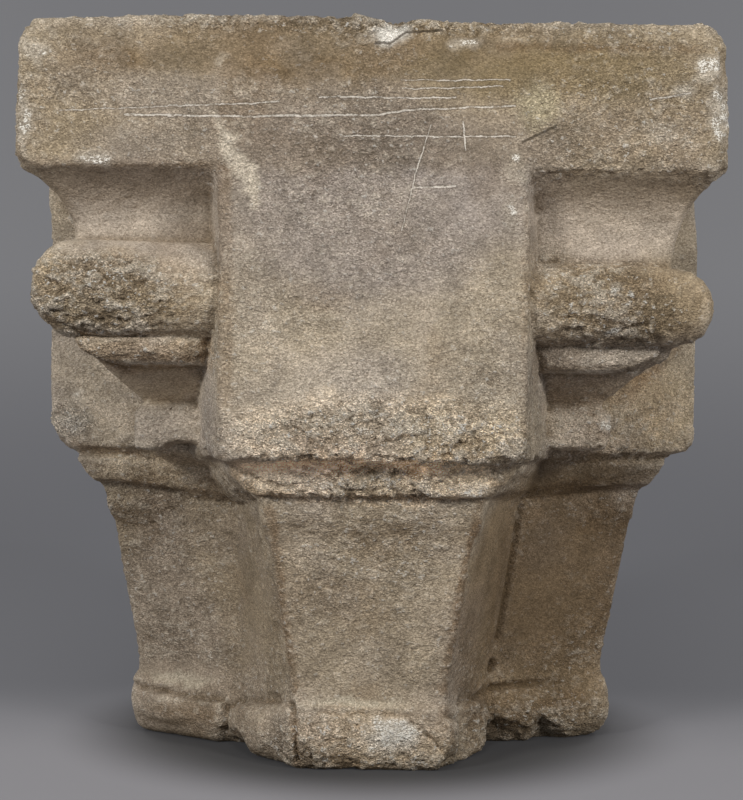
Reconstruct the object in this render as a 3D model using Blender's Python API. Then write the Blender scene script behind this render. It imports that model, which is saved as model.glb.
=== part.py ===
"""A stone capital carved from one block: a square abacus over four splayed arms, a moulded
console under each corner of the abacus, and a cross-shaped shaft that tapers to a foot roll.

Metres, +Z up. The origin is the centre of the underside, and the front faces -Y.
"""

import math

import bmesh
import bpy
from mathutils import Matrix, Vector, noise

# The block
BLOCK_WIDTH = 0.300
BLOCK_HEIGHT = 0.325
ABACUS_HEIGHT = 0.0615
ABACUS_CORNER_WEAR = 0.0030
TOP_EDGE_WEAR = 0.0016

# The mouldings of a console, from the abacus down. Each depth is measured inwards.
CAVETTO_HEIGHT = 0.0335
CAVETTO_DEPTH = 0.0210
ROLL_HEIGHT = 0.0405
ROLL_PROJECTION = 0.0165
OVOLO_HEIGHT = 0.0095
OVOLO_DEPTH = 0.0103
OVOLO_LIP = 0.0010  # the ovolo's foot stands this far out from the top of the taper
TAPER_DEPTH = 0.0170
BOSS_HEIGHT = 0.0165
BOSS_PROJECTION = 0.0048
BOSS_RISE = 0.0015  # from the arms' lower arris up to the boss's underside
BOSS_EDGE_WEAR = 0.0012
BOSS_CORNER_WEAR = 0.0048
BOSS_SHOULDER = 0.75  # the boss's sides are upright up to this share of its height
CONSOLE_CORNER_WEAR = 0.0022
ROLL_CORNER_WEAR = 0.0065
CONSOLE_FALL = 0.0036  # the mouldings run this much lower at the block's right than at its left

# The four arms, which run from the cove up to the top bed
ARM_WIDTH = 0.1296
ARM_SPLAY = math.radians(15.8)  # each side of an arm widens by this angle as it goes back
ARM_STEP = 0.0004  # an arm's face stands this far in front of the abacus
ARM_EDGE_WEAR = 0.0012

# The cove and band under the arms. Inset is measured from an arm's face, narrowing from its edge.
ARRIS_HEIGHT = 0.0026
ARRIS_INSET = 0.0026
COVE_HEIGHT = 0.0054
COVE_INSET = 0.0136
COVE_NARROWING = 0.0045
BAND_HEIGHT = 0.0086
BAND_INSET = 0.0188
BAND_NARROWING = 0.0118
TUCK_HEIGHT = 0.0044
ARRIS_TURN = 0.10  # share of the way that a re-entrant corner has moved to the shaft's corner
COVE_TURN = 0.45
BAND_TURN = 0.72

# The shaft's plan at its top and its foot: width over the arms, width of one face, and how far
# the re-entrant corner is from each axis, for the front right, back right, back left and front left
SHAFT_TOP_LEVEL = 0.1216
SHAFT_TOP_WIDTH = 0.2524
SHAFT_TOP_FACE = 0.0932
SHAFT_TOP_CORNERS = (0.0695, 0.0670, 0.0670, 0.0645)
SHAFT_FOOT_WIDTH = 0.2210
SHAFT_FOOT_FACE = 0.0640
SHAFT_FOOT_CORNERS = (0.0555, 0.0580, 0.0580, 0.0605)
SHAFT_EDGE_WEAR = 0.0012

# The foot roll, which sinks towards each re-entrant corner, and the flare of the shaft above it
FOOT_HEIGHT = 0.0285
FOOT_ROLL_PROJECTION = 0.0050
FOOT_UNDERCUT = 0.0016  # the underside is this much smaller all round than the shaft's foot
FOOT_CORNER_DROP = 0.0090
FOOT_CORNER_FILL = 0.0030  # the roll's re-entrant corners lie this much further out
FLARE_HEIGHT = 0.0130
FLARE_PROJECTION = 0.0022

# Fineness of the curved profiles
CAVETTO_STEPS = 10
ROLL_STEPS = 16
OVOLO_STEPS = 5
COVE_STEPS = 5
FOOT_STEPS = 12
FLARE_STEPS = 4
CORNER_STEPS = 3
SHAFT_STEPS = 6
SMOOTH_ANGLE = math.radians(35)

# Levels that follow from the sizes above
HALF_BLOCK = BLOCK_WIDTH / 2
ARM_REACH = HALF_BLOCK + ARM_STEP
HALF_ARM = ARM_WIDTH / 2
ABACUS_UNDERSIDE = BLOCK_HEIGHT - ABACUS_HEIGHT
CAVETTO_FOOT = ABACUS_UNDERSIDE - CAVETTO_HEIGHT
ROLL_FOOT = CAVETTO_FOOT - ROLL_HEIGHT
OVOLO_FOOT = ROLL_FOOT - OVOLO_HEIGHT
BAND_FOOT = SHAFT_TOP_LEVEL + TUCK_HEIGHT
COVE_FOOT = BAND_FOOT + BAND_HEIGHT
ARRIS_FOOT = COVE_FOOT + COVE_HEIGHT
ARRIS_TOP = ARRIS_FOOT + ARRIS_HEIGHT
BOSS_UNDERSIDE = ARRIS_TOP + BOSS_RISE
BOSS_TOP = BOSS_UNDERSIDE + BOSS_HEIGHT

# How uneven the broken places are
BREAK_ROUGHNESS = 0.22
BREAK_GRAIN = 1.4
BREAK_STEPS = 2
RETURN_TURN = math.radians(-24)  # the sides of the foot run back at this angle

# Where the stone is broken: corners and edges that the lost lumps are measured from
FOOT_REACH = SHAFT_FOOT_WIDTH / 2 + FOOT_ROLL_PROJECTION
HALF_FOOT_FACE = SHAFT_FOOT_FACE / 2
FRONT_TOP = (0.0, -HALF_BLOCK, BLOCK_HEIGHT)
BACK_TOP = (0.0, HALF_BLOCK, BLOCK_HEIGHT)
LEFT_TOP = (-HALF_BLOCK, -HALF_BLOCK, BLOCK_HEIGHT)
RIGHT_TOP = (HALF_BLOCK, -HALF_BLOCK, BLOCK_HEIGHT)
LEFT_SLAB_FOOT = (-HALF_BLOCK, -HALF_BLOCK, ABACUS_UNDERSIDE)
RIGHT_SLAB_FOOT = (HALF_BLOCK, -HALF_BLOCK, ABACUS_UNDERSIDE)
FRONT_TOE = (HALF_FOOT_FACE, -FOOT_REACH, 0.0)
RIGHT_TOE = (FOOT_REACH, -HALF_FOOT_FACE, 0.0)
LEFT_TOE = (-FOOT_REACH, -HALF_FOOT_FACE, 0.0)

# Each lost lump: the point it is measured from, its offset from there, its size, its turn about Z
BREAKS = (
    (FRONT_TOP, (0.007, 0.0, 0.0005), (0.017, 0.018, 0.013), 0.0),
    (FRONT_TOP, (0.037, -0.001, -0.003), (0.018, 0.010, 0.014), 0.0),
    (BACK_TOP, (-0.100, 0.0, 0.0), (0.020, 0.014, 0.012), 0.0),
    (LEFT_TOP, (0.0, 0.0, 0.001), (0.014, 0.014, 0.018), 0.3),
    (RIGHT_TOP, (0.0, 0.0, 0.001), (0.018, 0.018, 0.018), 0.8),
    (RIGHT_SLAB_FOOT, (0.001, -0.001, -0.002), (0.010, 0.010, 0.016), 0.4),
    (LEFT_SLAB_FOOT, (-0.001, -0.001, 0.0), (0.009, 0.009, 0.013), 0.2),
    (FRONT_TOE, (0.022, 0.028, 0.010), (0.014, 0.050, 0.026), RETURN_TURN),
    (FRONT_TOE, (0.042, 0.049, 0.018), (0.026, 0.014, 0.012), RETURN_TURN),
    (FRONT_TOE, (0.004, -0.001, 0.001), (0.012, 0.012, 0.010), 0.0),
    (LEFT_TOE, (-0.001, 0.0, -0.002), (0.020, 0.030, 0.010), 0.0),
    (RIGHT_TOE, (0.0, 0.0, -0.003), (0.024, 0.030, 0.012), 0.0),
)

STONE_COLOUR = (0.33, 0.28, 0.215, 1.0)
STONE_ROUGHNESS = 0.9


def clear_scene():
    for thing in list(bpy.data.objects):
        bpy.data.objects.remove(thing, do_unlink=True)


def stone_material():
    material = bpy.data.materials.new("limestone")
    material.use_nodes = True
    shader = material.node_tree.nodes["Principled BSDF"]
    shader.inputs["Base Color"].default_value = STONE_COLOUR
    shader.inputs["Roughness"].default_value = STONE_ROUGHNESS
    shader.inputs["Metallic"].default_value = 0.0
    return material


def lerp(a, b, t):
    return a + (b - a) * t


def rounded_square(half, radius):
    """A square outline, counter-clockwise, with its corners worn round to a radius."""
    points = []
    for quarter in range(4):
        start = math.pi / 2 * (quarter - 1)
        middle = start + math.pi / 4
        reach = (half - radius) * math.sqrt(2)
        for step in range(CORNER_STEPS + 1):
            angle = start + math.pi / 2 * step / CORNER_STEPS
            points.append(Vector((
                reach * math.cos(middle) + radius * math.cos(angle),
                reach * math.sin(middle) + radius * math.sin(angle),
            )))
    return points


def cross_outline(reach, half_face, corners):
    """The sharp plan of four arms, counter-clockwise from the front arm's left edge.

    Each arm gives its two face edges and then the re-entrant corner that follows it.
    """
    points = []
    for quarter, corner in enumerate(corners):
        turn = Matrix.Rotation(quarter * math.pi / 2, 2)
        for x, y in ((-half_face, -reach), (half_face, -reach), (corner, -corner)):
            points.append(turn @ Vector((x, y)))
    return points


def offset_outline(points, distance):
    """The outline moved outwards by a distance, with mitred corners."""
    moved = []
    count = len(points)
    for i, here in enumerate(points):
        before = (here - points[i - 1]).normalized()
        after = (points[(i + 1) % count] - here).normalized()
        normal_before = Vector((before.y, -before.x))
        normal_after = Vector((after.y, -after.x))
        mitre = (normal_before + normal_after).normalized()
        moved.append(here + mitre * (distance / mitre.dot(normal_before)))
    return moved


def cross_ring(outline, wear, level, corner_drop=0.0):
    """A ring of 3-D points: each outer edge worn to two points, and each re-entrant corner kept.

    The re-entrant corners can lie lower than the rest.
    """
    ring = []
    count = len(outline)
    for i, here in enumerate(outline):
        if i % 3 == 2:
            ring.append((here.x, here.y, level - corner_drop))
            continue
        for neighbour in (outline[i - 1], outline[(i + 1) % count]):
            point = here + (neighbour - here).normalized() * wear
            ring.append((point.x, point.y, level))
    return ring


def loft(name, rings):
    """A closed mesh object through rings of 3-D points, from the lowest to the highest."""
    mesh = bpy.data.meshes.new(name)
    shape = bmesh.new()
    layers = [[shape.verts.new(point) for point in ring] for ring in rings]
    for lower, upper in zip(layers, layers[1:]):
        count = len(lower)
        for i in range(count):
            j = (i + 1) % count
            shape.faces.new((lower[i], lower[j], upper[j], upper[i]))
    shape.faces.new(reversed(layers[0]))
    shape.faces.new(layers[-1])
    bmesh.ops.recalc_face_normals(shape, faces=shape.faces)
    shape.to_mesh(mesh)
    shape.free()
    thing = bpy.data.objects.new(name, mesh)
    bpy.context.scene.collection.objects.link(thing)
    return thing


def console_profile():
    """(level, half width, corner wear) of the square mouldings, from the boss up to the top bed."""
    neck = HALF_BLOCK - CAVETTO_DEPTH
    taper_top = neck - OVOLO_DEPTH
    taper_foot = taper_top - TAPER_DEPTH
    boss = taper_foot + BOSS_PROJECTION
    edge = CONSOLE_CORNER_WEAR
    profile = [
        (BOSS_UNDERSIDE, boss - BOSS_EDGE_WEAR, edge),
        (BOSS_UNDERSIDE + BOSS_EDGE_WEAR, boss, BOSS_CORNER_WEAR),
        (lerp(BOSS_UNDERSIDE, BOSS_TOP, BOSS_SHOULDER), boss, BOSS_CORNER_WEAR),
        (BOSS_TOP, taper_foot, edge),
        (OVOLO_FOOT, taper_top, edge),
    ]
    for step in range(OVOLO_STEPS + 1):
        share = step / OVOLO_STEPS
        half = lerp(taper_top + OVOLO_LIP, neck, math.sin(math.pi / 2 * share))
        profile.append((lerp(OVOLO_FOOT + OVOLO_LIP, ROLL_FOOT - OVOLO_LIP, share), half, edge))
    for step in range(ROLL_STEPS + 1):
        angle = math.pi * step / ROLL_STEPS
        bulge = math.sin(angle)
        level = ROLL_FOOT + ROLL_HEIGHT * (1 - math.cos(angle)) / 2
        wear = lerp(edge, ROLL_CORNER_WEAR, bulge)
        profile.append((level, neck + ROLL_PROJECTION * bulge, wear))
    radius = (CAVETTO_DEPTH**2 + CAVETTO_HEIGHT**2) / (2 * CAVETTO_DEPTH)
    sweep = math.asin(CAVETTO_HEIGHT / radius)
    for step in range(1, CAVETTO_STEPS + 1):
        angle = sweep * step / CAVETTO_STEPS
        wear = lerp(edge, ABACUS_CORNER_WEAR, step / CAVETTO_STEPS)
        half = neck + radius * (1 - math.cos(angle))
        profile.append((CAVETTO_FOOT + radius * math.sin(angle), half, wear))
    profile += [
        (BLOCK_HEIGHT - TOP_EDGE_WEAR, HALF_BLOCK, ABACUS_CORNER_WEAR),
        (BLOCK_HEIGHT, HALF_BLOCK - TOP_EDGE_WEAR, ABACUS_CORNER_WEAR),
    ]
    return profile


def make_consoles():
    """The square moulded block: its corners show between the arms as the four consoles."""
    rings = []
    for level, half, wear in console_profile():
        share = min(1.0, max(0.0, (ABACUS_UNDERSIDE - level) / CAVETTO_HEIGHT))
        fall = CONSOLE_FALL * share / BLOCK_WIDTH
        rings.append([(p.x, p.y, level - fall * p.x) for p in rounded_square(half, wear)])
    return loft("consoles", rings)


def arm_corner():
    """Distance from each axis to where the splayed sides of two neighbouring arms meet."""
    slope = math.tan(ARM_SPLAY)
    return (HALF_ARM + ARM_REACH * slope) / (1 + slope)


def arm_ring(level, inset=0.0, narrowing=0.0, turn=0.0):
    """One ring of the arms, whose re-entrant corners go from the arms' own to the shaft's."""
    corners = [lerp(arm_corner(), corner, turn) for corner in SHAFT_TOP_CORNERS]
    outline = cross_outline(ARM_REACH - inset, HALF_ARM - narrowing, corners)
    return cross_ring(outline, ARM_EDGE_WEAR, level)


def waist_rings():
    """From the shaft's top up through the band and cove to the arms' lower arris."""
    rings = [arm_ring(BAND_FOOT, BAND_INSET, BAND_NARROWING, BAND_TURN)]
    for step in range(COVE_STEPS + 1):
        angle = math.pi / 2 * step / COVE_STEPS
        out = 1 - math.cos(angle)
        rings.append(arm_ring(
            COVE_FOOT + COVE_HEIGHT * math.sin(angle),
            lerp(COVE_INSET, ARRIS_INSET, out),
            lerp(COVE_NARROWING, 0.0, out),
            lerp(COVE_TURN, ARRIS_TURN, out),
        ))
    rings.append(arm_ring(ARRIS_TOP))
    return rings


def shaft_outline(level):
    """The shaft's plan at a level between its foot and its top."""
    share = (level - FOOT_HEIGHT) / (SHAFT_TOP_LEVEL - FOOT_HEIGHT)
    reach = lerp(SHAFT_FOOT_WIDTH, SHAFT_TOP_WIDTH, share) / 2
    half_face = lerp(SHAFT_FOOT_FACE, SHAFT_TOP_FACE, share) / 2
    corners = [lerp(a, b, share) for a, b in zip(SHAFT_FOOT_CORNERS, SHAFT_TOP_CORNERS)]
    return cross_outline(reach, half_face, corners)


def shaft_rings():
    """The tapering cross shaft, from the flare at its foot up to the waist."""
    rings = []
    for step in range(FLARE_STEPS):
        share = step / FLARE_STEPS
        level = FOOT_HEIGHT + FLARE_HEIGHT * share
        left = (1 - share) ** 2
        outline = offset_outline(shaft_outline(level), FLARE_PROJECTION * left)
        if step:
            rings.append(cross_ring(outline, SHAFT_EDGE_WEAR, level, FOOT_CORNER_DROP * left))
    for step in range(SHAFT_STEPS + 1):
        level = lerp(FOOT_HEIGHT + FLARE_HEIGHT, SHAFT_TOP_LEVEL, step / SHAFT_STEPS)
        rings.append(cross_ring(shaft_outline(level), SHAFT_EDGE_WEAR, level))
    return rings


def foot_rings():
    """The flattened roll that follows the cross plan, from the underside up to the flare."""
    corners = [corner + FOOT_CORNER_FILL for corner in SHAFT_FOOT_CORNERS]
    plan = cross_outline(SHAFT_FOOT_WIDTH / 2, SHAFT_FOOT_FACE / 2, corners)
    rings = []
    for step in range(FOOT_STEPS + 1):
        share = step / FOOT_STEPS
        angle = math.pi * share
        bulge = FOOT_ROLL_PROJECTION * math.sin(angle)
        outline = offset_outline(plan, lerp(-FOOT_UNDERCUT, FLARE_PROJECTION, share) + bulge)
        rise = (1 - math.cos(angle)) / 2
        drop = FOOT_CORNER_DROP * rise
        rings.append(cross_ring(outline, SHAFT_EDGE_WEAR, FOOT_HEIGHT * rise, drop))
    return rings


def make_cross_body():
    """The foot, the shaft and the arms in one closed mesh, up to the top bed."""
    rings = foot_rings() + shaft_rings() + waist_rings()
    rings.append(arm_ring(BLOCK_HEIGHT - TOP_EDGE_WEAR))
    rings.append(arm_ring(BLOCK_HEIGHT, TOP_EDGE_WEAR))
    return loft("capital", rings)


def join_solids(body, other, operation):
    """Applies one Boolean to the body's mesh and removes the other object."""
    step = body.modifiers.new(operation.lower(), "BOOLEAN")
    step.operation = operation
    step.object = other
    step.solver = "EXACT"
    graph = bpy.context.evaluated_depsgraph_get()
    mesh = bpy.data.meshes.new_from_object(body.evaluated_get(graph))
    body.modifiers.clear()
    body.data = mesh
    bpy.data.objects.remove(other, do_unlink=True)


def broken_lump(number, centre, size, turn):
    """An uneven closed lump, used to cut one break."""
    mesh = bpy.data.meshes.new(f"break_{number}")
    shape = bmesh.new()
    bmesh.ops.create_icosphere(shape, subdivisions=BREAK_STEPS, radius=1.0)
    rotation = Matrix.Rotation(turn, 3, "Z")
    shift = Vector((number, number, number)) * math.pi
    for vertex in shape.verts:
        bump = 1.0 + BREAK_ROUGHNESS * noise.noise(vertex.co * BREAK_GRAIN + shift)
        half = Vector(v * bump * s / 2 for v, s in zip(vertex.co, size))
        vertex.co = centre + rotation @ half
    shape.to_mesh(mesh)
    shape.free()
    lump = bpy.data.objects.new(f"break_{number}", mesh)
    bpy.context.scene.collection.objects.link(lump)
    return lump


def make_capital():
    body = make_cross_body()
    join_solids(body, make_consoles(), "UNION")
    for number, (corner, offset, size, turn) in enumerate(BREAKS):
        centre = Vector(corner) + Vector(offset)
        join_solids(body, broken_lump(number, centre, size, turn), "DIFFERENCE")
    body.data.materials.clear()
    body.data.materials.append(stone_material())
    body.data.shade_smooth()
    body.data.set_sharp_from_angle(angle=SMOOTH_ANGLE)
    return body


clear_scene()
make_capital()
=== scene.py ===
import math

import bmesh
import bpy
import numpy as np
from mathutils import Matrix, Vector, kdtree


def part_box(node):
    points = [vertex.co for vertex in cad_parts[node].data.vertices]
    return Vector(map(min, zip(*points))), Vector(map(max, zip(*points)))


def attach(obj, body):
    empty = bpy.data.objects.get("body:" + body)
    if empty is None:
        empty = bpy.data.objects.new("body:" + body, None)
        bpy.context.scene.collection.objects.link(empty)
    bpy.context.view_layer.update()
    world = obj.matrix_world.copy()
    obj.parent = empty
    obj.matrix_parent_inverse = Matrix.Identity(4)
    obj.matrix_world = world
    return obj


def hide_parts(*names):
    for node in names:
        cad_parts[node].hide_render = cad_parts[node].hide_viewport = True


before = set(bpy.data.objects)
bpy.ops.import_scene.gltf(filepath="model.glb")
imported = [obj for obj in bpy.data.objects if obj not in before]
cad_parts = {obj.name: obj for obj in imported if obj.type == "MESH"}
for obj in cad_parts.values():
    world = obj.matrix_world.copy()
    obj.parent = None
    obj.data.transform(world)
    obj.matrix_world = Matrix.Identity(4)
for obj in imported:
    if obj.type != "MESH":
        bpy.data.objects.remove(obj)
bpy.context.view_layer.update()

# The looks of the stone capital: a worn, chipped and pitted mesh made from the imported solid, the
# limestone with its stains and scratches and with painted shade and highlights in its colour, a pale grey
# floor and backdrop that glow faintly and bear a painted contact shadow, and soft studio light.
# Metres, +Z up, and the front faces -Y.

SEED = 7
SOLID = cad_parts["capital"]
LOW, HIGH = (Vector(corner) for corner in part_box("capital"))
FRONT = LOW.y
BACK = HIGH.y
SIDE = HIGH.x
TOP = HIGH.z

# Levels on the stone
SLAB_FOOT = 0.2635
ROLL_LEVEL = 0.2095
OVOLO_TOP = 0.1895
BLOCK_FOOT = 0.1412
FOOT_REACH = 0.116  # from the middle to the foot's outer faces
FOOT_FACE = 0.032  # half the width of such a face

# Camera: in the photograph's frame of 743 x 800 pixels
FRAME_HEIGHT_PX = 800
FOCAL_PX = 1847.0
SENSOR_MM = 36.0
CAMERA_DISTANCE = 0.776  # from the front face
CAMERA_HEIGHT = 0.1917
CAMERA_SIDE = -0.0006
CAMERA_PITCH = 0.033  # looks down by this angle
CAMERA_ROLL = 0.010

# Fineness of the stone's mesh
VOXEL = 0.0010
TRIANGLES = 194_000

# How far round an arris the stone is smoothed: ordinary wear, rubbed arrises, and for the colour
ARRIS_REACH = 0.0013
RUBBED_REACH = 0.0034
BROAD_REACH = 0.0032

LEVEL_STRETCH = np.array((0.72, 0.72, 1.2))  # the dressing marks lie level


def cell_value(cell, seed):
    """A repeatable number from 0 to 1 for each whole-numbered cell."""
    x, y, z = (cell[..., axis].astype(np.uint32) for axis in range(3))
    mixed = x * np.uint32(0x8DA6B343) ^ y * np.uint32(0xD8163841) ^ z * np.uint32(0xCB1AB31F)
    mixed = mixed ^ np.uint32((seed * 0x9E3779B1) & 0xFFFFFFFF)
    mixed = (mixed ^ (mixed >> np.uint32(15))) * np.uint32(0x2C1B3C6D)
    mixed = (mixed ^ (mixed >> np.uint32(12))) * np.uint32(0x297A2D39)
    mixed = mixed ^ (mixed >> np.uint32(15))
    return mixed / 4294967295.0


def waves(points, size, seed, octaves=3, keep=0.5):
    """Smooth noise from about -1 to 1, whose largest lumps are about the given size."""
    total = np.zeros(len(points))
    strength = 1.0
    for octave in range(octaves):
        place = points / (np.array(size) / 2**octave)
        cell = np.floor(place).astype(np.int64)
        part = place - cell
        part = part * part * (3 - 2 * part)
        value = np.zeros(len(points))
        for corner in range(8):
            step = np.array([corner & 1, corner >> 1 & 1, corner >> 2 & 1])
            weight = np.prod(np.where(step, part, 1 - part), axis=1)
            value += weight * cell_value(cell + step, seed + octave)
        total += strength * (value * 2 - 1)
        strength *= keep
    return total


def cell_vector(cell, seed):
    return np.stack([cell_value(cell, seed + axis) for axis in range(3)], axis=1)


def nearest_centre(points, size, seed):
    """The way from the nearest scattered centre to each point, as a share of size, and its cell."""
    place = points / size
    home = np.floor(place).astype(np.int64)
    nearest = np.full(len(points), 9.0)
    offset = np.zeros_like(points)
    cell = home.copy()
    for corner in range(27):
        other = home + np.array([corner % 3, corner // 3 % 3, corner // 9]) - 1
        way = place - other - cell_vector(other, seed)
        distance = np.einsum("ij,ij->i", way, way)
        closer = distance < nearest
        nearest[closer] = distance[closer]
        offset[closer] = way[closer]
        cell[closer] = other[closer]
    return offset, cell


def facets(points, size, seed):
    """Heights of small broken facets, each with its own tilt, from about -1 to 1."""
    offset, cell = nearest_centre(points, size, seed)
    tilt = cell_vector(cell, seed + 3) * 2 - 1
    return 2 * np.sum(offset * tilt, axis=1)


def pits(points, size, seed, share):
    """1 in the middle of scattered pits, of which only a share of the cells has one."""
    offset, cell = nearest_centre(points, size, seed)
    depth = 1 - fade(np.linalg.norm(offset, axis=1), 0.04, 0.26)
    return np.where(cell_value(cell, seed + 3) < share, depth, 0.0)


def fade(value, low, high):
    """0 below low, 1 above high, and smooth between."""
    share = np.clip((value - low) / (high - low), 0.0, 1.0)
    return share * share * (3 - 2 * share)


def near(points, centre, radii, edge=0.45):
    """1 at a centre, fading from a share of an ellipsoid's radii to 0 at the ellipsoid."""
    distance = np.linalg.norm((points - np.array(centre)) / np.array(radii), axis=1)
    return 1 - fade(distance, edge, 1.0)


def mesh_arrays(mesh):
    points = np.empty(len(mesh.vertices) * 3)
    mesh.vertices.foreach_get("co", points)
    normals = np.empty(len(mesh.vertices) * 3)
    mesh.vertex_normals.foreach_get("vector", normals)
    edges = np.empty(len(mesh.edges) * 2, dtype=np.int64)
    mesh.edges.foreach_get("vertices", edges)
    return points.reshape(-1, 3), normals.reshape(-1, 3), edges.reshape(-1, 2)


def softened(points, edges, reach):
    """The points after averaging with their neighbours, until about a reach is smoothed over."""
    rounds = max(1, round((reach / VOXEL) ** 2 / 0.3))
    count = len(points)
    start, end = edges[:, 0], edges[:, 1]
    valence = np.bincount(start, minlength=count) + np.bincount(end, minlength=count)
    valence = np.maximum(valence, 1)[:, None]
    result = points.copy()
    for _ in range(rounds):
        total = np.stack([
            np.bincount(start, weights=result[end, axis], minlength=count)
            + np.bincount(end, weights=result[start, axis], minlength=count)
            for axis in range(3)
        ], axis=1)
        result = 0.4 * result + 0.6 * total / valence
    return result


def remeshed_stone():
    """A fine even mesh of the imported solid."""
    stone = bpy.data.objects.new("capital_stone", SOLID.data.copy())
    bpy.context.scene.collection.objects.link(stone)
    remesh = stone.modifiers.new("fine", "REMESH")
    remesh.mode = "VOXEL"
    remesh.voxel_size = VOXEL
    graph = bpy.context.evaluated_depsgraph_get()
    fine = bpy.data.meshes.new_from_object(stone.evaluated_get(graph))
    stone.modifiers.clear()
    stone.data = fine
    return stone


def arris_samples():
    """Points along the solid's outer arrises, each with the outward direction there."""
    spacing = 0.004
    sharpest = math.radians(28)
    shape = bmesh.new()
    shape.from_mesh(SOLID.data)
    bmesh.ops.remove_doubles(shape, verts=shape.verts, dist=1e-6)
    samples = []
    for edge in shape.edges:
        if len(edge.link_faces) != 2 or not edge.is_convex:
            continue
        if edge.calc_face_angle(0.0) < sharpest:
            continue
        outward = (edge.link_faces[0].normal + edge.link_faces[1].normal).normalized()
        start, end = (vertex.co for vertex in edge.verts)
        count = int((end - start).length / spacing)
        for i in range(count):
            samples.append((start.lerp(end, (i + 0.5) / count), outward.copy()))
    shape.free()
    return samples


class Stone:
    """The fine mesh's points while they are worked, with a tree to find those near a place."""

    def __init__(self, mesh):
        self.points, self.normals, self.edges = mesh_arrays(mesh)
        self.tree = kdtree.KDTree(len(self.points))
        for index, point in enumerate(self.points):
            self.tree.insert(point, index)
        self.tree.balance()

    def around(self, place, radius):
        return np.array([index for _, index, _ in self.tree.find_range(place, radius)], dtype=int)

    def split(self, place, outward, depth, radius, grain=0.0, seed=0):
        """Breaks off what stands beyond a plane near a place, fading out at a radius."""
        found = self.around(place, radius)
        if not len(found):
            return
        outward = np.array(Vector(outward).normalized())
        part = self.points[found]
        above = (part - np.array(place)) @ outward + depth
        if grain:
            above = above + grain * waves(part, 0.005, seed)
        reach = np.linalg.norm(part - np.array(place), axis=1)
        strength = 1 - fade(reach, radius * 0.65, radius)
        self.points[found] = part - np.outer(np.maximum(above, 0.0) * strength, outward)

    def dent(self, place, radius, depth):
        """A round hole, or with a negative depth a knob."""
        found = self.around(place, radius)
        if not len(found):
            return
        reach = np.linalg.norm(self.points[found] - np.array(place), axis=1)
        share = 1 - fade(reach, radius * 0.25, radius)
        self.points[found] -= self.normals[found] * (share * depth)[:, None]


def chip_arrises(stone, bulge):
    """Small breaks of many sizes along every arris that stands out clearly."""
    rng = np.random.default_rng(SEED)
    least_bulge = 0.00025
    for place, outward in arris_samples():
        draw = rng.random(6)
        nearest = stone.tree.find(place)[1]
        if draw[0] > 0.72 or bulge[nearest] < least_bulge:
            continue
        radius = 0.0028 + 0.011 * draw[1] ** 3
        depth = 0.0004 + radius * 0.17 * draw[2]
        if abs(place.z - SLAB_FOOT) < 0.004 and place.y < FRONT + 0.01:
            radius *= 0.6
        tilt = Vector(draw[3:6] - 0.5) * 1.1
        stone.split(place, outward + tilt, depth, radius)


def break_edges(stone):
    """The larger breaks, each at its own place on the stone."""
    rng = np.random.default_rng(SEED + 1)
    front_top = (
        # place along X, depth, radius, lean of the broken face
        (0.001, 0.0026, 0.008, 0.9),
        (0.009, 0.0034, 0.009, 0.7),
        (0.034, 0.0022, 0.008, 2.2),
        (0.041, 0.0020, 0.007, 1.6),
    )
    for x, depth, radius, lean in front_top:
        stone.split((x, FRONT, TOP), (0.0, -lean, 1.0), depth, radius, 0.0012, 81)
    x = 0.050
    while x < 0.137:
        depth = 0.0030 + 0.0016 * rng.random()
        stone.split((x, FRONT, TOP), (0.0, -1.2, 1.0), depth, 0.012, 0.0008, 82)
        x += 0.007
    level = SLAB_FOOT
    while level < TOP:
        depth = 0.0028 + 0.0016 * rng.random()
        stone.split((SIDE, FRONT, level), (1.0, -1.0, 0.0), depth, 0.011, 0.0008, 83)
        level += 0.006
    corners = (
        ((-SIDE, FRONT, TOP), (-1.0, -0.5, 1.0), 0.0066, 0.028),
        ((SIDE, FRONT, TOP), (0.9, -0.5, 1.0), 0.0074, 0.030),
        ((-SIDE, FRONT, SLAB_FOOT), (-0.8, -0.5, -1.0), 0.0050, 0.024),
        ((SIDE, FRONT, SLAB_FOOT), (0.9, -0.5, -1.0), 0.0040, 0.022),
        ((-SIDE, -0.062, BLOCK_FOOT), (-1.0, -0.3, -0.9), 0.0058, 0.024),
        ((SIDE, -0.062, BLOCK_FOOT), (1.0, -0.3, -0.9), 0.0024, 0.015),
        ((-0.065, FRONT, BLOCK_FOOT), (-0.4, -0.8, -1.0), 0.0022, 0.014),
        ((0.064, FRONT, BLOCK_FOOT), (0.8, -0.6, -1.0), 0.0030, 0.016),
        ((-SIDE, BACK, TOP), (-0.8, 0.7, 1.0), 0.0050, 0.022),
        ((SIDE, BACK, SLAB_FOOT), (0.8, 0.7, -1.0), 0.0055, 0.026),
        ((-FOOT_REACH, -FOOT_FACE, 0.0), (-1.0, -0.5, -0.9), 0.0030, 0.022),
        ((FOOT_REACH, -FOOT_FACE, 0.0), (1.0, -0.7, -0.9), 0.0042, 0.026),
        ((-0.1085, -0.1065, 0.1475), (-1.0, -0.8, -0.8), 0.0036, 0.013),
        ((FOOT_FACE, -FOOT_REACH, 0.0), (1.0, -0.4, -0.8), 0.0035, 0.018),
        ((-FOOT_FACE, -FOOT_REACH, 0.0), (-0.8, -0.8, -1.0), 0.0020, 0.012),
    )
    for number, (place, outward, depth, radius) in enumerate(corners):
        stone.split(place, outward, depth, radius, 0.0010, 90 + number)


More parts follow.
